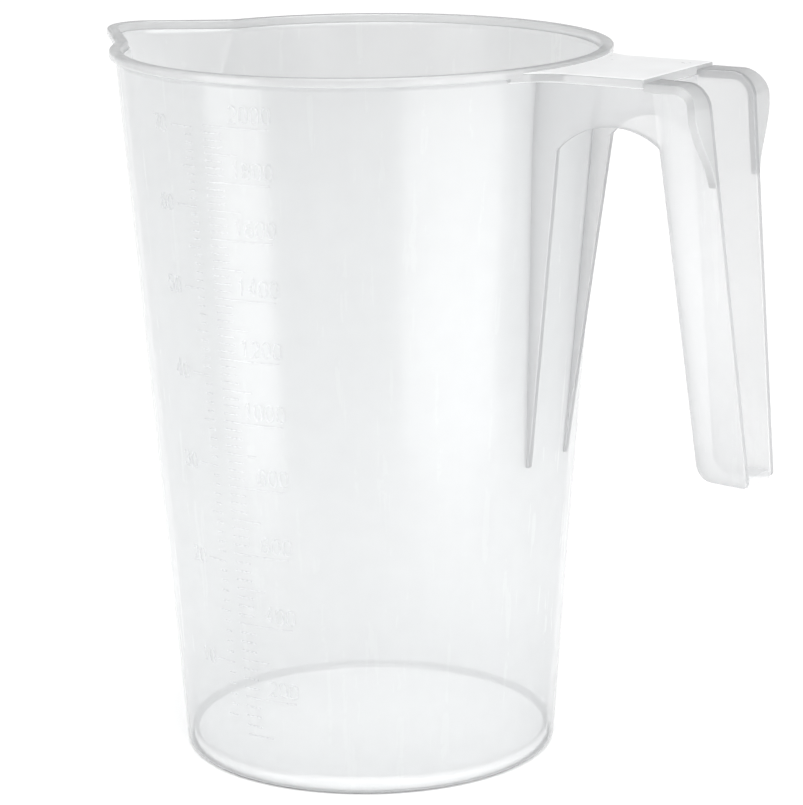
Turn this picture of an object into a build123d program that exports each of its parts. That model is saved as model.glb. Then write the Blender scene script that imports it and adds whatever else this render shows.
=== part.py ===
from build123d import *
import os
from math import asin, atan2, cos, degrees, pi, radians, sin, sqrt

# A two litre measuring jug in frosted polypropylene: a conical body with a pouring beak, an open
# handle that hangs from the rim opposite the beak, and raised scales on the side between them.
# Millimetres, +Z up. The origin is on the jug's axis at the plane it stands on. The handle points
# along +X, the beak along -X, and the scales face -Y. The jug is one moulding, so the nodes are its
# moulded features: each is a closed solid that meets its neighbours face to face.

# ---- driving dimensions: body ----
jug_height = 202.0
base_radius = 53.3            # outside of the wall, carried down to the standing plane
mouth_radius = 68.6           # outside of the wall, carried up to the rim's top
wall = 2.0
foot_height = 0.5
foot_width = 3.6
floor_thickness = 2.3
base_round = 1.1              # outer corner between wall and base
rim_overhang = 1.6
rim_depth = 2.4
rim_break = 0.45

# ---- driving dimensions: beak ----
beak_reach = 83.9             # axis to the beak's outermost point, under its lip
beak_tip_radius = 14.4
beak_half_angle = 23.5        # where the beak's flanks leave the round wall
beak_rise = 1.0               # the lip climbs this much from the rim to the tip
beak_bottom = 167.0           # the height at which the beak has run out into the wall
beak_foot_half_angle = 12.0
beak_root_run = 9.0           # how far the beak's cutting body reaches into the cavity

# ---- driving dimensions: handle ----
arm_top = 201.0               # top face of the plate between the rim and the grip
plate_thickness = 2.5
lip_drop = 1.0                # the edge lips beyond the plate lie this much lower
plate_half_width = 19.8
plate_root_half_width = 27.0
plate_root_fillet_end = 77.0  # distance from the axis at which the plate's root fillet ends
plate_root_sag = 2.0          # how deep the root fillet is cut below its chord

side_thickness = 2.0
web_thickness = 2.3
web_top_reach = 97.0          # axis to the web's inner face, at the arm's top
web_lean = 0.11               # outward run of the web for each millimetre down
grip_edge_top_reach = 114.6   # axis to the channel's outer edge, at the arm's top
grip_edge_lean = 0.094
grip_bottom = 92.0
grip_inner_round = 5.0        # the grip's lower corner on the jug's side
grip_outer_round = 1.5
end_plate_thickness = 2.4

waist_half_width = 11.7       # outside of the side plates at the web, at the arm's top
side_draft = 0.070            # the grip closes in by this for each millimetre down
rib_draft = 0.078             # and so do the ribs on the wall
arm_splay = -0.19             # change of half width for each millimetre outward, wall to web
grip_splay = 0.15             # the same, from the web to the outer edge

rib_top = 180.0
rib_bottom = 90.0
rib_top_reach = 71.4
rib_bottom_reach = 59.8
arch_crown = (86.5, 186.6)    # distance from the axis and height of the arch's highest point
arch_foot_height = 181.4      # height at which the arch meets the web

lip_half_width = 21.6         # half width across the lips below the grip's upper corner
lip_thickness = 2.4
lip_corner_round = 7.0
lip_fade_height = 173.0       # the lips run out into the outer edges here

# ---- driving dimensions: scales ----
mark_height = 0.3             # how far the marks stand out of the wall
mark_width = 0.6
scale_full = 2000             # millilitres
scale_step = 25
scale_middle_step = 100
scale_label_step = 200
ounce = 28.41                 # millilitres in an imperial fluid ounce
ounce_full = 70
ounce_middle_step = 5
ounce_label_step = 10
scale_start = -95.7           # azimuth at which the millilitre ticks begin, in degrees
ounce_start = -99.3           # and the ounce ticks, which run the other way
short_tick = 5.0              # tick lengths, in degrees round the wall
middle_tick = 9.0
long_tick = 17.0
ounce_tick_share = 0.4        # the ounce ticks are this much of those lengths
numeral_height = 4.2
numeral_width = 2.1
numeral_pitch = 3.3
numeral_stroke = 0.5
ounce_label_gap = 4.4         # degrees from the longest ounce tick to the middle of its label
label_overhang = 1.2          # degrees that a label passes its tick's end

os.makedirs("parts", exist_ok=True)

# ---- the conical body ----
wall_slope = (mouth_radius - base_radius) / jug_height
floor_top = foot_height + floor_thickness
rim_bottom = jug_height - rim_depth
rim_radius = mouth_radius + rim_overhang
beyond = 300.0                # longer than any piece, for cutting bodies


def outer_radius(z):
    return base_radius + wall_slope * z


def inner_radius(z):
    return outer_radius(z) - wall


floor_radius = inner_radius(floor_top)


def turned(outline):
    """A solid of revolution from a closed outline in the XZ plane."""
    return revolve(Plane.XZ * make_face(outline), Axis.Z)


def frustum(bottom_radius, top_radius, z_bottom, z_top):
    return turned(Polyline((0, z_bottom), (bottom_radius, z_bottom), (top_radius, z_top), (0, z_top), close=True))


def outer_cone(z_bottom, z_top):
    return frustum(outer_radius(z_bottom), outer_radius(z_top), z_bottom, z_top)


def largest(shape):
    return max(shape.solids(), key=lambda solid: solid.volume)


def base_floor():
    return Pos(0, 0, foot_height + floor_thickness / 2) * Cylinder(floor_radius, floor_thickness)


def foot_ring():
    """The narrow ring that the jug stands on, just inside the base's rounded corner."""
    outside = outer_radius(foot_height + base_round) - base_round - 0.1
    ring = Cylinder(outside, foot_height) - Cylinder(outside - foot_width, foot_height)
    return Pos(0, 0, foot_height / 2) * ring


def body_wall():
    corner_end = foot_height + base_round
    corner_start = outer_radius(corner_end) - base_round
    bulge = base_round * sqrt(0.5)
    outline = (Line((floor_radius, foot_height), (corner_start, foot_height))
               + ThreePointArc((corner_start, foot_height), (corner_start + bulge, corner_end - bulge),
                               (outer_radius(corner_end), corner_end))
               + Line((outer_radius(corner_end), corner_end), (outer_radius(rim_bottom), rim_bottom))
               + Line((outer_radius(rim_bottom), rim_bottom), (inner_radius(rim_bottom), rim_bottom))
               + Line((inner_radius(rim_bottom), rim_bottom), (floor_radius, floor_top))
               + Line((floor_radius, floor_top), (floor_radius, foot_height)))
    return turned(outline)


def rim_ring():
    """The flange round the mouth, with its outer edges and its inner top edge broken."""
    inside = inner_radius(rim_bottom)
    outline = Polyline((inside, rim_bottom), (rim_radius - rim_break, rim_bottom), (rim_radius, rim_bottom + rim_break),
                       (rim_radius, jug_height - rim_break), (rim_radius - rim_break, jug_height),
                       (inside + rim_break, jug_height), (inside, jug_height - rim_break), close=True)
    return turned(outline)


# ---- the beak ----
def beak_outline(reach, tip_radius, root_radius, half_angle, z):
    """Closed outline at height z: two straight flanks and a round tip, carried a little way inside."""
    root = Vector(-root_radius * cos(radians(half_angle)), root_radius * sin(radians(half_angle)))
    centre = Vector(tip_radius - reach, 0)
    to_root = root - centre
    bearing = atan2(to_root.Y, to_root.X) + pi / 2 - asin(tip_radius / to_root.length)
    touch = centre + Vector(cos(bearing), sin(bearing)) * tip_radius
    inner = root + (root - touch).normalized() * beak_root_run
    edges = [Line(inner, touch),
             ThreePointArc(touch, (-reach, 0), (touch.X, -touch.Y)),
             Line((touch.X, -touch.Y), (inner.X, -inner.Y)),
             Line((inner.X, -inner.Y), inner)]
    return Pos(0, 0, z) * make_face(edges)


beak_top = jug_height + beak_rise + 1.0
beak_rise_start = -outer_radius(jug_height) * cos(radians(beak_half_angle))
beak_slope = beak_rise / (beak_reach + beak_rise_start)


def beak_body(inset):
    """The flaring beak as a solid that is open to the cavity, drawn in from its outer surface by the inset."""
    foot_reach = outer_radius(beak_bottom) - inset - 0.2
    flare = (beak_reach - foot_reach) / (jug_height - beak_bottom)
    top_reach = beak_reach - inset + flare * (beak_top - jug_height)
    upper = beak_outline(top_reach, beak_tip_radius - inset, outer_radius(jug_height) - inset,
                         beak_half_angle, beak_top)
    lower = beak_outline(foot_reach, beak_tip_radius - inset, foot_reach - 2.0, beak_foot_half_angle, beak_bottom)
    return loft([lower.face(), upper.face()], ruled=True)


def above_slope(height):
    """Everything above the beak's climbing plane, which passes the rim at the height given."""
    far = 2 * beak_reach
    rise = beak_slope * (far + beak_rise_start)
    outline = Polyline((beak_rise_start, height), (-far, height + rise), (-far, height + beyond),
                       (beyond, height + beyond), (beyond, height), close=True)
    return extrude(Plane.XZ * make_face(outline), beyond, both=True)


beak_cavity = beak_body(wall)


def beak_shell():
    shell = beak_body(0) - beak_cavity - outer_cone(beak_bottom - 5, jug_height) - above_slope(rim_bottom)
    return largest(shell - rim_ring())


def beak_lip():
    """The rim carried round the beak: a band that stands out as far as the rim does."""
    band = extrude(beak_outline(beak_reach + rim_overhang, beak_tip_radius + rim_overhang, rim_radius,
                                beak_half_angle + 1.5, rim_bottom - 1), beak_rise + rim_depth + 2)
    band = band - beak_cavity - above_slope(jug_height)
    band = band & above_slope(rim_bottom)
    return largest(band - Pos(0, 0, jug_height) * Cylinder(rim_radius, beyond))


# ---- the handle: outlines drawn upright through the axis, given their faces by leaning planes ----
outer_top = arm_top - lip_drop
plate_bottom = arm_top - plate_thickness


def web_reach(z):
    return web_top_reach + web_lean * (arm_top - z)


def grip_edge(z):
    return grip_edge_top_reach + grip_edge_lean * (arm_top - z)


plate_end = web_reach(arm_top) + web_thickness

# The arm's sides meet the grip's flanges all down the web, so their draft follows from that.
arm_draft = side_draft - (grip_splay - arm_splay) * web_lean


def grip_half_width(x, z):
    return waist_half_width + grip_splay * (x - web_top_reach) - side_draft * (arm_top - z)


def arm_half_width(x, z):
    return waist_half_width + arm_splay * (x - web_top_reach) - arm_draft * (arm_top - z)


def rib_half_width(x, z):
    return arm_half_width(x, rib_top) - rib_draft * (rib_top - z)


def slab(half_width, thickness):
    """A big plate whose outer face leans as the half width says, on the -Y side."""
    corners = [(40, 60), (150, 60), (150, 230), (40, 230)]
    points = [(x, -half_width(x, z), z) for x, z in corners]
    return extrude(Face(Wire.make_polygon(points)), thickness, dir=(0, 1, 0))


def upright(edges):
    """The outline in the upright plane, carried through to both sides."""
    return extrude(Plane.XZ * make_face(edges), beyond, both=True)


jug_side = outer_cone(-1, jug_height)


def arm_side():
    web_top = (web_reach(plate_bottom), plate_bottom)
    arch_outer = (web_reach(arch_foot_height), arch_foot_height)
    arch_inner = (rib_top_reach, rib_top)
    inner_low = (outer_radius(rib_top) - 8, rib_top)
    inner_high = (inner_low[0], plate_bottom)
    edges = [Line(inner_high, web_top), Line(web_top, arch_outer),
             ThreePointArc(arch_outer, arch_crown, arch_inner),
             Line(arch_inner, inner_low), Line(inner_low, inner_high)]
    return largest((upright(edges) & slab(arm_half_width, side_thickness)) - jug_side)


def wall_rib():
    inside = outer_radius(rib_bottom) - 12
    outline = Polyline((inside, rib_top), (rib_top_reach, rib_top), (rib_bottom_reach, rib_bottom),
                       (inside, rib_bottom), close=True)
    return largest((upright(outline) & slab(rib_half_width, side_thickness)) - jug_side)


def grip_outline():
    """The flange's outline, with a large round at the top outer corner and the two rounds below."""
    corners = Polyline((web_reach(plate_bottom), plate_bottom), (plate_end, plate_bottom), (plate_end, outer_top),
                       (grip_edge(outer_top), outer_top), (grip_edge(grip_bottom), grip_bottom),
                       (web_reach(grip_bottom), grip_bottom), close=True)
    sketch = make_face(corners)
    points = sketch.vertices()
    sketch = fillet(points.sort_by_distance((grip_edge(outer_top), outer_top))[0], lip_corner_round)
    sketch = fillet(sketch.vertices().sort_by_distance((web_reach(grip_bottom), grip_bottom))[0], grip_inner_round)
    return fillet(sketch.vertices().sort_by_distance((grip_edge(grip_bottom), grip_bottom))[0], grip_outer_round)


def grip_flange():
    flange = extrude(Plane.XZ * grip_outline(), beyond, both=True)
    return largest(flange & slab(grip_half_width, side_thickness))


def channel_inside():
    """Everything between the two flanges' inner faces."""
    def inner_half_width(x, z):
        return grip_half_width(x, z) - side_thickness
    front = slab(inner_half_width, beyond)
    return front & mirror(front, about=Plane.XZ)


def channel_back():
    """The web and the end plate in one, as a bent strip inside the grip's outline."""
    opening = Polyline((web_reach(beyond) + web_thickness, beyond),
                       (web_reach(grip_bottom + end_plate_thickness) + web_thickness,
                        grip_bottom + end_plate_thickness),
                       (beyond, grip_bottom + end_plate_thickness), (beyond, beyond), close=True)
    face = make_face(opening)
    low_corner = face.vertices().sort_by_distance((web_reach(grip_bottom), grip_bottom))[0]
    face = fillet(low_corner, grip_inner_round - end_plate_thickness)
    strip = extrude(Plane.XZ * grip_outline(), beyond, both=True) - extrude(Plane.XZ * face, beyond, both=True)
    return largest(strip & channel_inside())


web_foot = web_reach(grip_bottom) + grip_inner_round     # the web's bend ends here


def grip_web():
    keep = Pos(web_foot - beyond / 2, 0, arm_top) * Box(beyond, beyond, beyond * 2)
    below_plate = Pos(0, 0, plate_bottom - beyond / 2) * Box(beyond, beyond, beyond)
    return largest(channel_back() & keep & below_plate)


def grip_end_plate():
    keep = Pos(web_foot + beyond / 2, 0, 0) * Box(beyond, beyond, 2 * (grip_bottom + end_plate_thickness + 5))
    return largest(channel_back() & keep)


def arm_plate():
    """The flat plate from the rim out to the web, wider where it joins the rim."""
    inside = rim_radius - 15
    root = (sqrt(rim_radius ** 2 - plate_root_half_width ** 2) - 1.0, plate_root_half_width)
    corner = (plate_root_fillet_end, plate_half_width)
    run = Vector(corner[0] - root[0], corner[1] - root[1])
    middle = ((root[0] + corner[0]) / 2 + run.Y / run.length * plate_root_sag,
              (root[1] + corner[1]) / 2 - run.X / run.length * plate_root_sag)
    half = [Line((inside, 0), (inside, root[1])), Line((inside, root[1]), root),
            ThreePointArc(root, middle, corner), Line(corner, (plate_end, plate_half_width)),
            Line((plate_end, plate_half_width), (plate_end, 0)), Line((plate_end, 0), (inside, 0))]
    one_side = extrude(make_face(half), plate_thickness)
    plate = Pos(0, 0, plate_bottom) * (one_side + mirror(one_side, about=Plane.XZ))
    collar = Pos(0, 0, jug_height) * Cylinder(rim_radius, 2 * rim_depth)
    return largest(plate - jug_side - collar)


def lip_front_outline():
    """The lips' outline seen along the handle: wide at the corner, fading out down the edges."""
    flange_foot = grip_half_width(grip_edge(lip_fade_height), lip_fade_height)
    corner_height = outer_top - lip_corner_round
    return Polyline((0, outer_top + 1), (-plate_half_width, outer_top + 1), (-lip_half_width, corner_height),
                    (-lip_half_width + 0.6, corner_height - 4), (-flange_foot - 3.4, lip_fade_height + 9),
                    (-flange_foot, lip_fade_height), (0, lip_fade_height), close=True)


def edge_lip():
    """The lip outside a flange beyond the plate: along the top, round the corner and down the edge."""
    top_edge = grip_edge(outer_top)
    low_edge = grip_edge(lip_fade_height)
    outline = Polyline((plate_end, outer_top), (top_edge, outer_top), (low_edge, lip_fade_height),
                       (low_edge - lip_thickness, lip_fade_height), (top_edge - lip_thickness, outer_top - lip_thickness),
                       (plate_end, outer_top - lip_thickness), close=True)
    face = make_face(outline)
    outer_corner = face.vertices().sort_by_distance((top_edge, outer_top))[0]
    face = fillet(outer_corner, lip_corner_round)
    inner_corner = face.vertices().sort_by_distance((top_edge - lip_thickness, outer_top - lip_thickness))[0]
    face = fillet(inner_corner, lip_corner_round - lip_thickness)
    band = extrude(Plane.XZ * face, beyond, both=True)
    front = extrude(Plane.YZ * make_face(lip_front_outline()), beyond)
    return largest((band & front) - slab(grip_half_width, beyond))


# ---- the scales ----
def level(millilitres):
    """Height of the surface when the jug holds this much, from the cavity's volume."""
    slope = wall_slope
    radius = (floor_radius ** 3 + 3 * slope * millilitres * 1000 / pi) ** (1 / 3)
    return floor_top + (radius - floor_radius) / slope


def raised_arc(z_low, z_high, start, sweep):
    """A bar on the wall's outer surface between two heights, from the start azimuth on, in degrees."""
    bevel = mark_height / 2
    outline = Polyline((outer_radius(z_low), z_low), (outer_radius(z_low + bevel) + mark_height, z_low + bevel),
                       (outer_radius(z_high - bevel) + mark_height, z_high - bevel),
                       (outer_radius(z_high), z_high), close=True)
    bar = revolve(Plane.XZ * make_face(outline), Axis.Z, revolution_arc=sweep)
    return Rot(0, 0, start) * bar


def tick(height, start, length):
    return raised_arc(height - mark_width / 2, height + mark_width / 2, start, length)


def tick_length(amount, middle_step, label_step):
    if amount % label_step == 0:
        return long_tick
    if amount % middle_step == 0:
        return middle_tick
    return short_tick


def millilitre_ticks():
    ticks = [tick(level(amount), scale_start, tick_length(amount, scale_middle_step, scale_label_step))
             for amount in range(scale_middle_step, scale_full + 1, scale_step)]
    return Compound(children=ticks)


def ounce_ticks():
    ticks = []
    for amount in range(ounce_middle_step, ounce_full + 1):
        length = ounce_tick_share * tick_length(amount, ounce_middle_step, ounce_label_step)
        ticks.append(tick(level(amount * ounce), ounce_start - length, length))
    return Compound(children=ticks)


# Strokes of the numerals, on a grid two wide and four high.
numeral_strokes = {
    "0": [[(0.6, 0), (1.4, 0), (2, 0.6), (2, 3.4), (1.4, 4), (0.6, 4), (0, 3.4), (0, 0.6), (0.6, 0)]],
    "1": [[(0.4, 3.2), (1.2, 4), (1.2, 0)]],
    "2": [[(0, 3.3), (0.6, 4), (1.4, 4), (2, 3.4), (2, 2.6), (0, 0), (2, 0)]],
    "3": [[(0, 3.4), (0.6, 4), (1.4, 4), (2, 3.4), (2, 2.6), (1.2, 2.1), (2, 1.6), (2, 0.6), (1.4, 0),
           (0.6, 0), (0, 0.6)]],
    "4": [[(1.5, 0), (1.5, 4), (0, 1.2)], [(0, 1.2), (2, 1.2)]],
    "5": [[(1.9, 4), (0.2, 4), (0.1, 2.3), (1.3, 2.4), (2, 1.8), (2, 0.6), (1.4, 0), (0.6, 0), (0, 0.5)]],
    "6": [[(1.8, 3.8), (0.9, 3.8), (0, 2.9), (0, 0.6), (0.6, 0), (1.4, 0), (2, 0.6), (2, 1.6), (1.4, 2.2)],
          [(1.4, 2.2), (0.6, 2.2), (0, 1.7)]],
    "7": [[(0, 4), (2, 4), (0.8, 0)]],
    "8": [[(0.6, 2.1), (0.1, 2.6), (0.1, 3.4), (0.6, 4), (1.4, 4), (1.9, 3.4), (1.9, 2.6), (1.4, 2.1)],
          [(1.4, 2.1), (2, 1.5), (2, 0.6), (1.4, 0), (0.6, 0), (0, 0.6), (0, 1.5), (0.6, 2.1)],
          [(0.6, 2.1), (1.4, 2.1)]],
}


def numeral(digit, offset):
    shape = Sketch()
    for stroke in numeral_strokes[digit]:
        points = [(offset + x * numeral_width / 2, y * numeral_height / 4) for x, y in stroke]
        shape += trace(Polyline(*points), line_width=numeral_stroke)
    return shape


def label(text, azimuth, z):
    """The numerals of one label, raised on the wall and reading level from outside."""
    angle = radians(azimuth)
    middle = z + numeral_height / 2
    outward = (cos(angle), sin(angle), 0)
    radius = outer_radius(middle)
    plane = Plane(origin=(radius * cos(angle), radius * sin(angle), z), x_dir=(-sin(angle), cos(angle), 0),
                  z_dir=outward)
    first = -(numeral_pitch * (len(text) - 1) + numeral_width) / 2
    shell = frustum(outer_radius(z - 2) + mark_height, outer_radius(z + 8) + mark_height, z - 2, z + 8)
    shell = shell - outer_cone(z - 3, z + 9)
    solids = []
    for index, digit in enumerate(text):
        block = extrude(plane * numeral(digit, first + index * numeral_pitch), 4, both=True)
        solids += (block & shell).solids()
    return solids


def scale_labels():
    solids = []
    for amount in range(scale_label_step, scale_full + 1, scale_label_step):
        width = numeral_pitch * len(str(amount)) / 2
        azimuth = scale_start + long_tick + label_overhang - degrees(width / outer_radius(level(amount)))
        solids += label(str(amount), azimuth, level(amount) + 1.6)
    for amount in range(ounce_label_step, ounce_full + 1, ounce_label_step):
        azimuth = ounce_start - ounce_tick_share * long_tick - ounce_label_gap
        solids += label(str(amount), azimuth, level(amount * ounce) - numeral_height / 2)
    return Compound(children=solids)


# ---- write the parts ----
def other_side(solid):
    return mirror(solid, about=Plane.XZ)


nodes = {
    "base_floor": base_floor(),
    "foot_ring": foot_ring(),
    "body_wall": body_wall() - beak_cavity,
    "rim_flange": rim_ring() - beak_cavity,
    "beak_shell": beak_shell(),
    "beak_lip": beak_lip(),
    "arm_plate": arm_plate(),
    "arm_side_front": arm_side(),
    "arm_side_back": other_side(arm_side()),
    "wall_rib_front": wall_rib(),
    "wall_rib_back": other_side(wall_rib()),
    "grip_web": grip_web(),
    "grip_flange_front": grip_flange(),
    "grip_flange_back": other_side(grip_flange()),
    "grip_end_plate": grip_end_plate(),
    "edge_lip_front": edge_lip(),
    "edge_lip_back": other_side(edge_lip()),
    "scale_ticks_millilitre": millilitre_ticks(),
    "scale_ticks_ounce": ounce_ticks(),
    "scale_numerals": scale_labels(),
}
for name, shape in nodes.items():
    export_step(shape, f"parts/{name}.step")
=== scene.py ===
import math
import bmesh
import bpy
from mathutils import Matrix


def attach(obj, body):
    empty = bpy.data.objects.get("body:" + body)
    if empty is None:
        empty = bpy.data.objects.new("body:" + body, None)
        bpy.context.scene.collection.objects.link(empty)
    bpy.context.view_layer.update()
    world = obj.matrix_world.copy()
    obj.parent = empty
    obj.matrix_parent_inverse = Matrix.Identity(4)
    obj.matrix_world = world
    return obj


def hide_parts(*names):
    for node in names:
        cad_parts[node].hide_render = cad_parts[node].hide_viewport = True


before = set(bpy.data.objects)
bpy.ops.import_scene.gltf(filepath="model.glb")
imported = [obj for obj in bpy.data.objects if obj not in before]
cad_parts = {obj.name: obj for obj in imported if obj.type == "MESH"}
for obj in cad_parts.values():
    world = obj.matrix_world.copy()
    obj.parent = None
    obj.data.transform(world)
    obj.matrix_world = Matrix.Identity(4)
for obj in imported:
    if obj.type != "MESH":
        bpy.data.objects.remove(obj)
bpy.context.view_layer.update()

# A measuring jug in frosted polypropylene. Outlines below are in millimetres in the row frame:
# +Z up the jug's axis, +X towards the handle, -X towards the beak, -Y towards the scales.
MM = 0.001

# ---- dimensions, the same as the CAD part's ----
HEIGHT, WALL, FOOT, FLOOR_TOP = 202.0, 2.0, 0.5, 2.8
BASE_R, MOUTH_R = 53.3, 68.6
SLOPE = (MOUTH_R - BASE_R) / HEIGHT
RIM_LOW, RIM_DEPTH, RIM_OUT, RIM_ROUND = 199.6, 2.4, 1.58, 0.7
RIM_R = MOUTH_R + RIM_OUT
BEAK_REACH, BEAK_TIP, BEAK_LOW, BEAK_RISE = 83.9, 14.4, 167.0, 1.0
BEAK_HALF, BEAK_FOOT_HALF = 23.5, 12.0
ARM_TOP, PLATE, LIP_DROP = 201.0, 2.5, 1.0
PLATE_LOW, OUTER_TOP = ARM_TOP - PLATE, ARM_TOP - LIP_DROP
PLATE_HALF, ROOT_HALF, ROOT_END, ROOT_SAG = 19.8, 27.0, 77.0, 2.0
SIDE, WEB = 2.0, 2.3
GRIP_LOW, END_PLATE = 92.0, 2.4
WEB_TOP, WEB_LEAN = 97.0, 0.11              # axis to the web's inner face at the arm's top, and its lean
EDGE_TOP, EDGE_LEAN = 114.6, 0.094          # the same for the channel's outer edge
WAIST = 11.7                                # half width at the web, at the arm's top
SIDE_DRAFT, RIB_DRAFT = 0.070, 0.078
ARM_TAPER, GRIP_SPLAY = 0.19, 0.15          # half width lost, then gained, for each millimetre outward
PLATE_END = WEB_TOP + WEB
RIB_TOP, RIB_LOW = 180.0, 90.0
RIB_TOP_REACH, RIB_LOW_REACH = 71.4, 59.8
INNER_ROUND, OUTER_ROUND = 5.0, 1.5         # the grip's lower corners
ARCH_FOOT, ARCH_CROWN = 181.4, (86.5, 186.6)
LIP_FADE, LIP_ROUND, LIP_THICK, LIP_HALF = 173.0, 7.0, 2.4, 21.6


def outer(z):
    """Outer radius of the wall at a height."""
    return BASE_R + SLOPE * z


def inner(z):
    return outer(z) - WALL


def web_reach(z):
    return WEB_TOP + WEB_LEAN * (ARM_TOP - z)


def grip_edge(z):
    return EDGE_TOP + EDGE_LEAN * (ARM_TOP - z)


def grip_half(x, z):
    """Half width over the grip's flanges."""
    return WAIST + GRIP_SPLAY * (x - WEB_TOP) - SIDE_DRAFT * (ARM_TOP - z)


def arm_half(x, z):
    """Half width over the arm's sides: it meets the grip's at the web, which leans."""
    draft = SIDE_DRAFT - (GRIP_SPLAY + ARM_TAPER) * WEB_LEAN
    return WAIST - ARM_TAPER * (x - WEB_TOP) - draft * (ARM_TOP - z)


def rib_half(x, z):
    return arm_half(x, RIB_TOP) - RIB_DRAFT * (RIB_TOP - z)


def rib_reach(z):
    """Distance from the axis to the wall rib's outer edge."""
    return mixed(RIB_TOP_REACH, RIB_LOW_REACH, (RIB_TOP - z) / (RIB_TOP - RIB_LOW))


def mixed(a, b, t):
    return a + (b - a) * t


def smooth_step(t):
    t = min(max(t, 0.0), 1.0)
    return t * t * (3 - 2 * t)


# ---- mesh helpers ----
def piece(name, verts, faces, material):
    """A closed mesh from millimetre points, with its normals turned outwards."""
    mesh = bpy.data.meshes.new(name)
    mesh.from_pydata([(x * MM, y * MM, z * MM) for x, y, z in verts], [], faces)
    bm = bmesh.new()
    bm.from_mesh(mesh)
    bmesh.ops.recalc_face_normals(bm, faces=bm.faces)
    bm.to_mesh(mesh)
    bm.free()
    mesh.materials.append(material)
    for polygon in mesh.polygons:
        polygon.use_smooth = True
    obj = bpy.data.objects.new(name, mesh)
    bpy.context.scene.collection.objects.link(obj)
    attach(obj, "root")
    return obj


def soften(obj, width=0.4, segments=3, angle=32):
    """Rounds the sharp edges, as a mould does, and keeps the flats flat in shading."""
    bevel = obj.modifiers.new("rounds", "BEVEL")
    bevel.width = width * MM
    bevel.segments = segments
    bevel.limit_method = "ANGLE"
    bevel.angle_limit = math.radians(angle)
    bevel.harden_normals = True
    bevel.use_clamp_overlap = True
    return obj


def loops(name, rings, material, closed_round=True):
    """A solid from profile loops, one after another round the axis."""
    verts = [point for ring in rings for point in ring]
    count, size = len(rings), len(rings[0])
    faces = []
    for i in range(count if closed_round else count - 1):
        for j in range(size):
            k = (j + 1) % size
            here, there = i * size, ((i + 1) % count) * size
            faces.append((here + j, there + j, there + k, here + k))
    if not closed_round:
        faces += [tuple(range(size)), tuple(range((count - 1) * size, count * size))]
    return piece(name, verts, faces, material)


def arc(centre, radius, start, end, steps):
    """Points of an arc, from start to end in degrees."""
    turns = [math.radians(mixed(start, end, i / steps)) for i in range(steps + 1)]
    return [(centre[0] + radius * math.cos(a), centre[1] + radius * math.sin(a)) for a in turns]


def three_point_arc(a, m, b, steps):
    """Points of the circle's arc from a through m to b."""
    ax, ay, bx, by, mx, my = *a, *b, *m
    d = 2 * (ax * (my - by) + mx * (by - ay) + bx * (ay - my))
    ux = ((ax**2 + ay**2) * (my - by) + (mx**2 + my**2) * (by - ay) + (bx**2 + by**2) * (ay - my)) / d
    uy = ((ax**2 + ay**2) * (bx - mx) + (mx**2 + my**2) * (ax - bx) + (bx**2 + by**2) * (mx - ax)) / d
    radius = math.hypot(ax - ux, ay - uy)
    start, middle, end = (math.atan2(y - uy, x - ux) for x, y in (a, m, b))
    while middle - start > math.pi:
        middle -= 2 * math.pi
    while middle - start < -math.pi:
        middle += 2 * math.pi
    while end - middle > math.pi:
        end -= 2 * math.pi
    while end - middle < -math.pi:
        end += 2 * math.pi
    return [(ux + radius * math.cos(mixed(start, end, i / steps)),
             uy + radius * math.sin(mixed(start, end, i / steps))) for i in range(steps + 1)]


def rounded(points, radii, steps=8):
    """A closed outline with some corners rounded: radii holds a radius, or 0, for each point."""
    result = []
    for i, (point, radius) in enumerate(zip(points, radii)):
        if radius <= 0:
            result.append(point)
            continue
        before, after = points[i - 1], points[(i + 1) % len(points)]
        ways = []
        for other in (before, after):
            length = math.hypot(other[0] - point[0], other[1] - point[1])
            ways.append(((other[0] - point[0]) / length, (other[1] - point[1]) / length))
        turn = math.acos(max(-1, min(1, ways[0][0] * ways[1][0] + ways[0][1] * ways[1][1])))
        back = radius / math.tan(turn / 2)
        a = (point[0] + ways[0][0] * back, point[1] + ways[0][1] * back)
        b = (point[0] + ways[1][0] * back, point[1] + ways[1][1] * back)
        bisector = (ways[0][0] + ways[1][0], ways[0][1] + ways[1][1])
        size = math.hypot(*bisector)
        reach = radius / math.sin(turn / 2) - radius
        m = (point[0] + bisector[0] / size * reach, point[1] + bisector[1] / size * reach)
        result += three_point_arc(a, m, b, steps)
    return result


# ---- materials ----
def node(tree, kind, x, y, **values):
    """A shader node; values are its properties or, failing that, its inputs."""
    n = tree.nodes.new(kind)
    n.location = (x, y)
    for key, value in values.items():
        if hasattr(n, key):
            setattr(n, key, value)
        else:
            n.inputs[key.replace("_", " ")].default_value = value
    return n


def ranged(tree, x, y, source, start, end, low, high):
    """Maps a value that runs from start to end onto low to high."""
    n = node(tree, "ShaderNodeMapRange", x, y)
    for key, value in zip(("From Min", "From Max", "To Min", "To Max"), (start, end, low, high)):
        n.inputs[key].default_value = value
    tree.links.new(source, n.inputs["Value"])
    return n.outputs["Result"]


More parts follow.
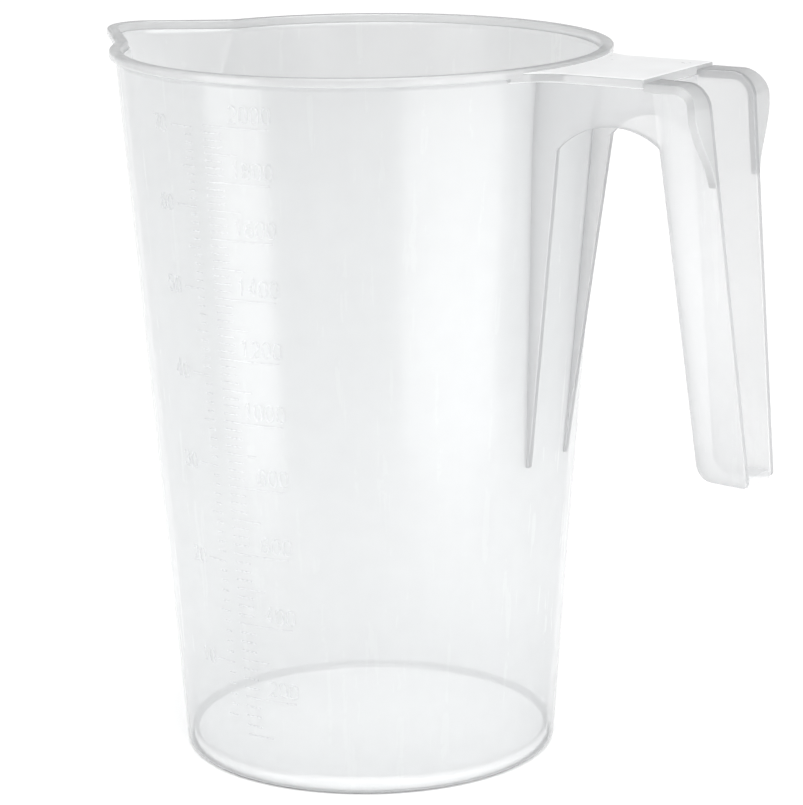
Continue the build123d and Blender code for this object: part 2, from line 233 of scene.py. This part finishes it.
def frosted(name, light, dark, clear, roughness, grain, streaks=0.5, translucent=0.45, coat=1.0):
    """Frosted polypropylene: a soft diffuse skin that passes light, with a faint cloudiness from the
    resin, upright flow lines from the mould, fine frost, and a few rubbed patches."""
    mat = bpy.data.materials.new(name)
    mat.use_nodes = True
    tree = mat.node_tree
    tree.nodes.clear()
    link = tree.links.new
    coord = node(tree, "ShaderNodeTexCoord", -1500, 0)
    # cloudiness of the resin, some centimetres across
    cloud = node(tree, "ShaderNodeTexNoise", -1100, 300, Scale=26.0, Detail=3.0, Roughness=0.55)
    link(coord.outputs["Object"], cloud.inputs["Vector"])
    # flow lines: noise drawn out upright
    stretch = node(tree, "ShaderNodeMapping", -1300, 0)
    stretch.inputs["Scale"].default_value = (260.0, 260.0, 9.0)
    link(coord.outputs["Object"], stretch.inputs["Vector"])
    flow = node(tree, "ShaderNodeTexNoise", -1100, 0, Scale=1.0, Detail=4.0, Roughness=0.6)
    link(stretch.outputs["Vector"], flow.inputs["Vector"])
    # frost, a fraction of a millimetre
    frost = node(tree, "ShaderNodeTexNoise", -1100, -300, Scale=2600.0, Detail=2.0, Roughness=0.6)
    link(coord.outputs["Object"], frost.inputs["Vector"])
    # handling wear: sparse rubbed patches
    rub = node(tree, "ShaderNodeTexNoise", -1100, -600, Scale=90.0, Detail=6.0, Roughness=0.7)
    link(coord.outputs["Object"], rub.inputs["Vector"])
    rubbed = ranged(tree, -900, -600, rub.outputs["Fac"], 0.52, 0.68, 0.0, 1.0)
    blend_maps = node(tree, "ShaderNodeMix", -850, 200, data_type="FLOAT")
    blend_maps.inputs[0].default_value = streaks
    link(cloud.outputs["Fac"], blend_maps.inputs[2])
    link(flow.outputs["Fac"], blend_maps.inputs[3])
    ramp = node(tree, "ShaderNodeValToRGB", -650, 250)
    ramp.color_ramp.elements[0].position = 0.32
    ramp.color_ramp.elements[0].color = (*dark, 1)
    ramp.color_ramp.elements[1].position = 0.66
    ramp.color_ramp.elements[1].color = (*light, 1)
    link(blend_maps.outputs[0], ramp.inputs["Fac"])
    rough = ranged(tree, -650, -50, flow.outputs["Fac"], 0.3, 0.7, roughness - 0.06, roughness + 0.06)
    worn = node(tree, "ShaderNodeMath", -450, -100, operation="MULTIPLY_ADD")
    worn.inputs[1].default_value = -0.08
    link(rubbed, worn.inputs[0])
    link(rough, worn.inputs[2])
    bump_fine = node(tree, "ShaderNodeBump", -450, -350, Strength=grain, Distance=0.00012)
    link(frost.outputs["Fac"], bump_fine.inputs["Height"])
    bump_flow = node(tree, "ShaderNodeBump", -250, -350, Strength=0.012, Distance=0.0003)
    link(flow.outputs["Fac"], bump_flow.inputs["Height"])
    link(bump_fine.outputs["Normal"], bump_flow.inputs["Normal"])
    skin = node(tree, "ShaderNodeBsdfPrincipled", 0, 200)
    skin.inputs["IOR"].default_value = 1.49
    skin.inputs["Coat Weight"].default_value = coat
    skin.inputs["Coat Roughness"].default_value = 0.16
    skin.inputs["Coat IOR"].default_value = 1.8
    link(ramp.outputs["Color"], skin.inputs["Base Color"])
    link(worn.outputs["Value"], skin.inputs["Roughness"])
    link(bump_flow.outputs["Normal"], skin.inputs["Normal"])
    through = node(tree, "ShaderNodeBsdfTranslucent", 0, -350)
    link(ramp.outputs["Color"], through.inputs["Color"])
    link(bump_flow.outputs["Normal"], through.inputs["Normal"])
    passing = node(tree, "ShaderNodeMixShader", 300, 100)
    passing.inputs["Fac"].default_value = translucent
    link(skin.outputs["BSDF"], passing.inputs[1])
    link(through.outputs["BSDF"], passing.inputs[2])
    open_part = node(tree, "ShaderNodeBsdfTransparent", 300, -150)
    haze = ranged(tree, 100, -550, cloud.outputs["Fac"], 0.3, 0.7, clear - 0.04, clear + 0.04)
    whole = node(tree, "ShaderNodeMixShader", 550, 50)
    link(haze, whole.inputs["Fac"])
    link(passing.outputs["Shader"], whole.inputs[1])
    link(open_part.outputs["BSDF"], whole.inputs[2])
    out = node(tree, "ShaderNodeOutputMaterial", 800, 50)
    link(whole.outputs["Shader"], out.inputs["Surface"])
    return mat


jug_plastic = frosted("jug_plastic", (0.785, 0.795, 0.80), (0.76, 0.77, 0.778),
                      clear=0.52, roughness=0.24, grain=0.2, streaks=0.25)
# painted light: a whiter, nearly opaque copy of the plastic, so the jug's floor disc looks brightly lit from
# above through the mouth
floor_disc_painted_light = frosted("floor_disc_painted_light", (0.98, 0.985, 0.99), (0.97, 0.975, 0.98),
                        clear=0.05, roughness=0.36, grain=0.2, streaks=0.1, translucent=0.02)
rim_plastic = frosted("rim_plastic", (0.80, 0.805, 0.81), (0.76, 0.765, 0.77),
                      clear=0.4, roughness=0.2, grain=0.10, streaks=0.3)
# painted shade: a darker copy of the plastic for the rim's upward faces and the handle plate's edges, where
# thick edges look darker
rim_and_plate_edge_painted_shade = frosted("rim_and_plate_edge_painted_shade", (0.68, 0.685, 0.69), (0.63, 0.635, 0.64),
                          clear=0.25, roughness=0.2, grain=0.08, streaks=0.3)
handle_plastic = frosted("handle_plastic", (0.74, 0.745, 0.75), (0.71, 0.715, 0.722),
                         clear=0.56, roughness=0.24, grain=0.15, streaks=0.3)
# painted light: a whiter, nearly opaque copy of the plastic for the handle plate, so it looks lit from above
plate_painted_light = frosted("plate_painted_light", (0.96, 0.965, 0.97), (0.94, 0.945, 0.95),
                        clear=0.12, roughness=0.36, grain=0.12, streaks=0.0, translucent=0.1, coat=0.0)
# painted shade: a much darker copy of the plastic for the edge faces of the handle's side plates
side_edge_painted_shade = frosted("side_edge_painted_shade", (0.48, 0.485, 0.49), (0.42, 0.425, 0.435),
                       clear=0.2, roughness=0.2, grain=0.08, streaks=0.3)
# painted shade: a darker copy of the plastic for the lips along the grip's top and outer edges
lip_painted_shade = frosted("lip_painted_shade", (0.64, 0.645, 0.65), (0.60, 0.605, 0.61),
                      clear=0.3, roughness=0.22, grain=0.10, streaks=0.2)
# painted shade: a darker copy of the plastic for the floor's rounded corner against the wall
floor_corner_painted_shade = frosted("floor_corner_painted_shade", (0.68, 0.685, 0.69), (0.62, 0.625, 0.63),
                         clear=0.2, roughness=0.22, grain=0.10, streaks=0.2)
mark_plastic = frosted("mark_plastic", (0.785, 0.795, 0.80), (0.76, 0.77, 0.778),
                       clear=0.76, roughness=0.24, grain=0.10, streaks=0.2)

# ---- the jug's round parts ----
BEAK_START = -MOUTH_R * math.cos(math.radians(BEAK_HALF))
BEAK_SLOPE = BEAK_RISE / (BEAK_REACH + BEAK_START)
BEAK_SUNK = 0.2               # the beak's outline starts this far inside the wall
BEAK_BLEND = 0.5              # softness of the crease where the beak leaves the wall
FLARE = (BEAK_REACH - (outer(BEAK_LOW) - BEAK_SUNK)) / (HEIGHT - BEAK_LOW)
BASE_ROUND = 1.1              # outer corner between wall and base
SEAT = 0.3                    # how far a piece reaches into its neighbour
FINE_LOW = 164.0              # from here up, across the beak, the wall's rows lie closer together


def beak_radius(psi, reach, tip, root, half):
    """Distance from the axis to the beak's outline, at the angle psi from its middle, or 0 beside it."""
    psi = abs(psi)
    if psi >= half or reach <= tip:
        return 0.0
    centre = reach - tip
    rx, ry = root * math.cos(half), root * math.sin(half)
    gap = math.hypot(rx - centre, ry)
    if gap <= tip:
        return 0.0
    bearing = math.atan2(ry, rx - centre) - math.acos(tip / gap)
    tx, ty = centre + tip * math.cos(bearing), tip * math.sin(bearing)
    if psi <= math.atan2(ty, tx):
        return centre * math.cos(psi) + math.sqrt(max(tip * tip - (centre * math.sin(psi)) ** 2, 0.0))
    dx, dy = tx - rx, ty - ry
    return (rx * dy - ry * dx) / (math.cos(psi) * dy - math.sin(psi) * dx)


def wall_radius(psi, z, inset=0.0, spread=0.0):
    """Distance from the axis to the wall at a height, with the beak blended in."""
    plain = outer(z) - inset
    if z <= BEAK_LOW:
        return plain
    t = (z - BEAK_LOW) / (HEIGHT - BEAK_LOW)
    reach = outer(BEAK_LOW) - BEAK_SUNK + FLARE * (z - BEAK_LOW) - inset
    half = math.radians(mixed(BEAK_FOOT_HALF, BEAK_HALF + spread, min(t, 1.03)))
    beak = beak_radius(psi, reach, BEAK_TIP - inset, plain, half)
    if beak <= 0:
        return plain
    out = max(beak - plain, 0.0)
    return plain + out ** 2 / (out + BEAK_BLEND)


def azimuths():
    """Angles from the beak's middle, closer together across the beak."""
    fine = [-30 + 0.5 * i for i in range(121)]
    coarse = [30 + 1.5 * i for i in range(1, 200)]
    return [math.radians(a) for a in fine + coarse]


def at(psi, r, z):
    """The point at an angle from the beak's middle."""
    return (-r * math.cos(psi), r * math.sin(psi), z)


def wrapped(psi):
    return (psi + math.pi) % (2 * math.pi) - math.pi


def slope_lift(psi, r):
    """How far the rim is lifted by the beak's climb at this place."""
    if abs(wrapped(psi)) >= 0.6:
        return 0.0
    return max(r * math.cos(wrapped(psi)) + BEAK_START, 0.0) * BEAK_SLOPE


def wall_ring(psi):
    """The wall's closed profile at one angle: up the outside and down the inside."""
    p = wrapped(psi)
    lift = slope_lift(p, wall_radius(p, HEIGHT))
    top = RIM_LOW + lift
    heights = [FOOT + BASE_ROUND + i * 6.0 for i in range(27)]
    heights += [mixed(FINE_LOW, top, i / 22) for i in range(23)]
    ring = [at(psi, inner(FLOOR_TOP) - SEAT, FOOT)]
    centre = (outer(FOOT + BASE_ROUND) - BASE_ROUND, FOOT + BASE_ROUND)
    ring += [at(psi, r, z) for r, z in arc(centre, BASE_ROUND, -90, 0, 5)[:-1]]
    ring += [at(psi, wall_radius(p, z), z) for z in heights]
    ring += [at(psi, wall_radius(p, z, WALL), z) for z in reversed(heights) if z > FLOOR_TOP]
    ring.append(at(psi, inner(FLOOR_TOP), FLOOR_TOP - 0.4))
    ring.append(at(psi, inner(FLOOR_TOP) - SEAT, FLOOR_TOP - 0.8))
    return ring


def rim_ring(psi):
    """The rim's closed profile at one angle, with three rounded corners."""
    p = wrapped(psi)
    inside = wall_radius(p, HEIGHT, WALL)
    outside = wall_radius(p, HEIGHT, 0.0, 1.5) + RIM_OUT
    low = RIM_LOW + slope_lift(p, wall_radius(p, HEIGHT))
    high = low + RIM_DEPTH
    k = RIM_ROUND
    profile = [(inside - 0.02, low)]
    profile += arc((outside - k, low + k), k, -90, 0, 4)
    profile += arc((outside - k, high - k), k, 0, 90, 4)
    profile += arc((inside + k, high - k), k, 90, 180, 4)
    return [at(psi, r, z) for r, z in profile]


angles = azimuths()
wall_obj = loops("jug_wall", [wall_ring(a) for a in angles], jug_plastic)
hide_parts("body_wall", "beak_shell")
rim_obj = loops("jug_rim", [rim_ring(a) for a in angles], rim_plastic)
rim_obj.data.materials.append(rim_and_plate_edge_painted_shade)
# painted shade: the rim's upward faces take the darker copy of the plastic
for polygon in rim_obj.data.polygons:
    if polygon.normal.z > 0.6:
        polygon.material_index = 1
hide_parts("rim_flange", "beak_lip")


def disc(name, profile, material, count=180):
    """A solid of revolution whose profile starts and ends on the axis."""
    verts = [(0, 0, profile[0][1])]
    inside = profile[1:-1]
    for i in range(count):
        a = 2 * math.pi * i / count
        verts += [(r * math.cos(a), r * math.sin(a), z) for r, z in inside]
    verts.append((0, 0, profile[-1][1]))
    size, last = len(inside), len(verts) - 1
    faces = []
    for i in range(count):
        a, b = 1 + i * size, 1 + ((i + 1) % count) * size
        faces.append((0, a, b))
        faces += [(a + j, a + j + 1, b + j + 1, b + j) for j in range(size - 1)]
        faces.append((last, b + size - 1, a + size - 1))
    return piece(name, verts, faces, material)


floor_edge = inner(FLOOR_TOP)
fillet = 2.0
floor_profile = [(r, FOOT) for r in (0, 12, 24, 36, 48, floor_edge - SEAT)]
floor_profile += [(floor_edge + 0.1, FOOT + SEAT), (inner(FLOOR_TOP + fillet) + 0.05, FLOOR_TOP + fillet)]
floor_profile += arc((inner(FLOOR_TOP + fillet) - fillet, FLOOR_TOP + fillet), fillet, 0, -90, 6)[1:]
floor_profile += [(r, FLOOR_TOP) for r in (46, 40, 30, 20, 10)] + [(0, FLOOR_TOP)]
# painted light: the floor disc takes the whiter, nearly opaque copy of the plastic
floor_obj = disc("jug_floor", floor_profile, floor_disc_painted_light)
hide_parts("base_floor")
floor_obj.data.materials.append(floor_corner_painted_shade)
# painted shade: the floor's sloping corner faces take the darker copy of the plastic
for polygon in floor_obj.data.polygons:
    if 0.1 < polygon.normal.z < 0.97:
        polygon.material_index = 1

foot_out, foot_break = outer(1.6) - 1.2, 0.25
foot_in = foot_out - 3.6
foot_profile = [(foot_in, FOOT), (foot_in, foot_break), (foot_in + foot_break, 0.0),
                (foot_out - foot_break, 0.0), (foot_out, foot_break), (foot_out, FOOT)]
turns = [2 * math.pi * i / 180 for i in range(180)]
foot_rings = [[(r * math.cos(a), r * math.sin(a), z) for r, z in foot_profile] for a in turns]
foot_obj = loops("jug_foot", foot_rings, rim_plastic)
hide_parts("foot_ring")

# ---- the handle ----
EMBED = 0.7                   # plates reach this far into the wall, as one moulding does
RIB_SUNK = 1.2                # the ribs end where their edge is this far inside the wall


def on_cone(half, z):
    """Distance along X at which a face of this half width meets the wall, a little inside it."""
    x = outer(z)
    for _ in range(12):
        x = math.sqrt(outer(z) ** 2 - half(x, z) ** 2)
    return x - EMBED


def handle_side(name, sign):
    """Arm side, wall rib and grip flange of one side, as one continuous plate."""
    rib_line = [(rib_reach(z), z) for z in [mixed(RIB_TOP, RIB_LOW, i / 16) for i in range(17)]]
    arch = three_point_arc((web_reach(ARCH_FOOT), ARCH_FOOT), ARCH_CROWN, (RIB_TOP_REACH, RIB_TOP), 28)
    cone_rib = [mixed(RIB_LOW, RIB_TOP, i / 16) for i in range(17)]
    cone_arm = [mixed(RIB_TOP, PLATE_LOW, i / 4) for i in range(5)]
    web_low = web_reach(GRIP_LOW)
    flange = rounded([(web_reach(PLATE_LOW), PLATE_LOW), (PLATE_END, PLATE_LOW), (PLATE_END, OUTER_TOP),
                      (grip_edge(OUTER_TOP), OUTER_TOP), (grip_edge(GRIP_LOW), GRIP_LOW), (web_low, GRIP_LOW),
                      (web_reach(ARCH_FOOT), ARCH_FOOT)], [0, 0, 0, LIP_ROUND, OUTER_ROUND, INNER_ROUND, 0], 10)
    verts, index = [], {}

    def vertex(x, z, half, layer, cone=False):
        def depth(u, w):
            return half(u, w) - layer * SIDE
        u = on_cone(depth, z) if cone else x
        point = (round(u, 5), round(-sign * depth(u, z), 5), round(z, 5))
        if point not in index:
            index[point] = len(verts)
            verts.append(point)
        return index[point]

    outlines = [
        ([(x, z, False) for x, z in flange], grip_half),
        ([(x, z, False) for x, z in arch] + [(0, z, True) for z in cone_arm]
         + [(web_reach(PLATE_LOW), PLATE_LOW, False)], arm_half),
        ([(x, z, False) for x, z in rib_line if outer(z) - RIB_SUNK < x]
         + [(0, z, True) for z in cone_rib if rib_reach(z) > outer(z) - RIB_SUNK], rib_half),
    ]
    faces, borders = [], {}
    for outline, half in outlines:
        front = [vertex(x, z, half, 0, cone) for x, z, cone in outline]
        back = [vertex(x, z, half, 1, cone) for x, z, cone in outline]
        faces += [tuple(front), tuple(reversed(back))]
        for i in range(len(front)):
            j = (i + 1) % len(front)
            borders.setdefault(tuple(sorted((front[i], front[j]))), []).append(
                (front[i], back[i], back[j], front[j]))
    faces += [quads[0] for quads in borders.values() if len(quads) == 1]
    obj = piece(name, verts, faces, handle_plastic)
    obj.data.materials.append(side_edge_painted_shade)
    # painted shade: the plates' edge faces take the much darker copy of the plastic
    for polygon in obj.data.polygons:
        if len(polygon.vertices) == 4 and abs(polygon.normal.y) < 0.6:
            polygon.material_index = 1
    return soften(obj, 0.35)


for side, sign in (("front", 1), ("back", -1)):
    side_obj = handle_side(f"handle_side_{side}", sign)
    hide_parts(f"arm_side_{side}", f"wall_rib_{side}", f"grip_flange_{side}")


def slab_faces(count):
    """Faces of a slab between two outlines of the same number of points."""
    faces = [tuple(range(count)), tuple(range(count, 2 * count))]
    return faces + [(i, (i + 1) % count, (i + 1) % count + count, i + count) for i in range(count)]


def prism(name, outline, low, high, material):
    """A flat plate from an outline in plan."""
    verts = [(x, y, low) for x, y in outline] + [(x, y, high) for x, y in outline]
    return piece(name, verts, slab_faces(len(outline)), material)


root = (math.sqrt(RIM_R**2 - ROOT_HALF**2) - 1.0, ROOT_HALF)
corner = (ROOT_END, PLATE_HALF)
run = (corner[0] - root[0], corner[1] - root[1])
length = math.hypot(*run)
middle = ((root[0] + corner[0]) / 2 + run[1] / length * ROOT_SAG,
          (root[1] + corner[1]) / 2 - run[0] / length * ROOT_SAG)
fillet_points = three_point_arc(root, middle, corner, 14)
rim_side = MOUTH_R - 0.8
start_angle = math.degrees(math.asin(ROOT_HALF / rim_side))
rim_points = arc((0, 0), rim_side, -start_angle, start_angle, 30)
plan = fillet_points + [(PLATE_END, PLATE_HALF), (PLATE_END, -PLATE_HALF)]
plan += [(x, -y) for x, y in reversed(fillet_points)] + rim_points
# painted light: the plate takes the whiter, nearly opaque copy of the plastic
plate_obj = soften(prism("handle_plate", plan, PLATE_LOW, ARM_TOP, plate_painted_light), 0.5, 4)
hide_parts("arm_plate")
plate_obj.data.materials.append(rim_and_plate_edge_painted_shade)
# painted shade: the plate's edge faces take the darker copy used on the rim's top
for polygon in plate_obj.data.polygons:
    if abs(polygon.normal.z) < 0.5:
        polygon.material_index = 1


def grip_channel():
    """Web and end plate as one bent strip between the flanges."""
    low_in = GRIP_LOW + END_PLATE
    outline = rounded([(web_reach(PLATE_LOW), PLATE_LOW), (web_reach(PLATE_LOW) + WEB, PLATE_LOW),
                       (web_reach(low_in) + WEB, low_in), (grip_edge(low_in) - 0.15, low_in),
                       (grip_edge(GRIP_LOW) - 0.4, GRIP_LOW), (web_reach(GRIP_LOW), GRIP_LOW)],
                      [0, 0, INNER_ROUND - WEB - 0.1, 0, 0, INNER_ROUND], 10)
    rows = [[(x, -sign * (grip_half(x, z) - SIDE + SEAT), z) for x, z in outline] for sign in (1, -1)]
    return piece("grip_channel", rows[0] + rows[1], slab_faces(len(outline)), handle_plastic)


channel_obj = soften(grip_channel(), 0.3)
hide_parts("grip_web", "grip_end_plate")


def lip_width(x, z):
    """Half width of the lip along its run: widest at the grip's upper corner, gone at its foot."""
    flange = grip_half(x, z)
    high = mixed(PLATE_HALF, LIP_HALF, smooth_step((ARM_TOP - z) / 8.0))
    fade = smooth_step((z - LIP_FADE) / (OUTER_TOP - LIP_ROUND - LIP_FADE))
    return mixed(flange + 0.05, high, fade)


def edge_lip(name, sign):
    """A lip that runs out along the top, round the corner and down the flange's outer edge."""
    top, low = OUTER_TOP, LIP_FADE
    line = rounded([(PLATE_END, top), (grip_edge(top), top), (grip_edge(low), low)], [0, LIP_ROUND, 0], 14)
    line = [(PLATE_END + 0.01, top), (mixed(PLATE_END, line[1][0], 0.5), top)] + line[1:-1]
    edge_top = line[-1]
    line += [(grip_edge(z), z) for z in [mixed(edge_top[1], low, i / 14) for i in range(1, 15)]]
    rings = []
    for i, (x, z) in enumerate(line):
        before, after = line[max(i - 1, 0)], line[min(i + 1, len(line) - 1)]
        dx, dz = after[0] - before[0], after[1] - before[1]
        size = math.hypot(dx, dz)
        inward = (dz / size, -dx / size)
        xi, zi = x + inward[0] * LIP_THICK, z + inward[1] * LIP_THICK
        wide = lip_width(x, z)
        near, near_in = grip_half(x, z) - 0.5, grip_half(xi, zi) - 0.5
        rings.append([(x, -sign * near, z), (x, -sign * max(wide, near + 0.55), z),
                      (xi, -sign * max(wide, near_in + 0.55), zi), (xi, -sign * near_in, zi)])
    # painted shade: the whole lip takes the darker copy of the plastic
    return loops(name, rings, lip_painted_shade, closed_round=False)


for side, sign in (("front", 1), ("back", -1)):
    lip_obj = soften(edge_lip(f"grip_lip_{side}", sign), 0.4)
    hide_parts(f"edge_lip_{side}")

# ---- the scales, carried over ----
for name in ("scale_ticks_millilitre", "scale_ticks_ounce", "scale_numerals"):
    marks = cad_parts[name]
    marks.data.materials.clear()
    marks.data.materials.append(mark_plastic)

# ---- stage, light and camera ----
world = bpy.data.worlds.new("studio")
bpy.context.scene.world = world
world.use_nodes = True
world.node_tree.nodes["Background"].inputs["Color"].default_value = (1.0, 1.0, 1.0, 1)
world.node_tree.nodes["Background"].inputs["Strength"].default_value = 0.30

floor_mat = bpy.data.materials.new("studio_floor")
floor_mat.use_nodes = True
floor_shader = floor_mat.node_tree.nodes["Principled BSDF"]
floor_shader.inputs["Base Color"].default_value = (0.95, 0.95, 0.95, 1)
floor_shader.inputs["Roughness"].default_value = 0.9
floor_mesh = bpy.data.meshes.new("studio_floor")
spread = 12.0
floor_mesh.from_pydata([(-spread, -spread, -0.0002), (spread, -spread, -0.0002), (spread, spread, -0.0002),
                        (-spread, spread, -0.0002)], [], [(0, 1, 2, 3)])
floor_mesh.materials.append(floor_mat)
stage_floor = bpy.data.objects.new("studio_floor", floor_mesh)
bpy.context.scene.collection.objects.link(stage_floor)


def sun(name, strength, angle, azimuth, elevation):
    """A soft sun; all three angles are in degrees."""
    lamp = bpy.data.lights.new(name, "SUN")
    lamp.energy = strength
    lamp.angle = math.radians(angle)
    obj = bpy.data.objects.new(name, lamp)
    obj.rotation_euler = (math.radians(90 - elevation), 0, math.radians(azimuth + 90))
    bpy.context.scene.collection.objects.link(obj)


def softbox(name, energy, size, place, target):
    """A rectangular light, width by height in metres, that faces a target."""
    lamp = bpy.data.lights.new(name, "AREA")
    lamp.shape = "RECTANGLE"
    lamp.energy = energy
    lamp.size, lamp.size_y = size
    obj = bpy.data.objects.new(name, lamp)
    obj.location = place
    way = [t - p for t, p in zip(target, place)]
    flat = math.hypot(way[0], way[1])
    obj.rotation_euler = (math.atan2(flat, -way[2]), 0, math.atan2(way[1], way[0]) - math.pi / 2)
    bpy.context.scene.collection.objects.link(obj)


sun("top", 2.75, 50, -40, 84)
softbox("strip_right", 0.56, (0.28, 0.26), (0.276, -0.070, 0.13), (0, 0, 0.12))
softbox("strip_left", 0.36, (0.14, 0.26), (-0.110, -0.258, 0.13), (0, 0, 0.12))

camera_data = bpy.data.cameras.new("camera")
camera_data.lens = 146.1
camera_data.sensor_width = 36.0
camera = bpy.data.objects.new("camera", camera_data)
camera.location = (0.49426, -0.76109, 0.32123)
camera.rotation_euler = [math.radians(a) for a in (76.2349, 0.6317, 32.2155)]
bpy.context.scene.collection.objects.link(camera)
bpy.context.scene.camera = camera
bpy.context.scene.view_settings.view_transform = "Standard"
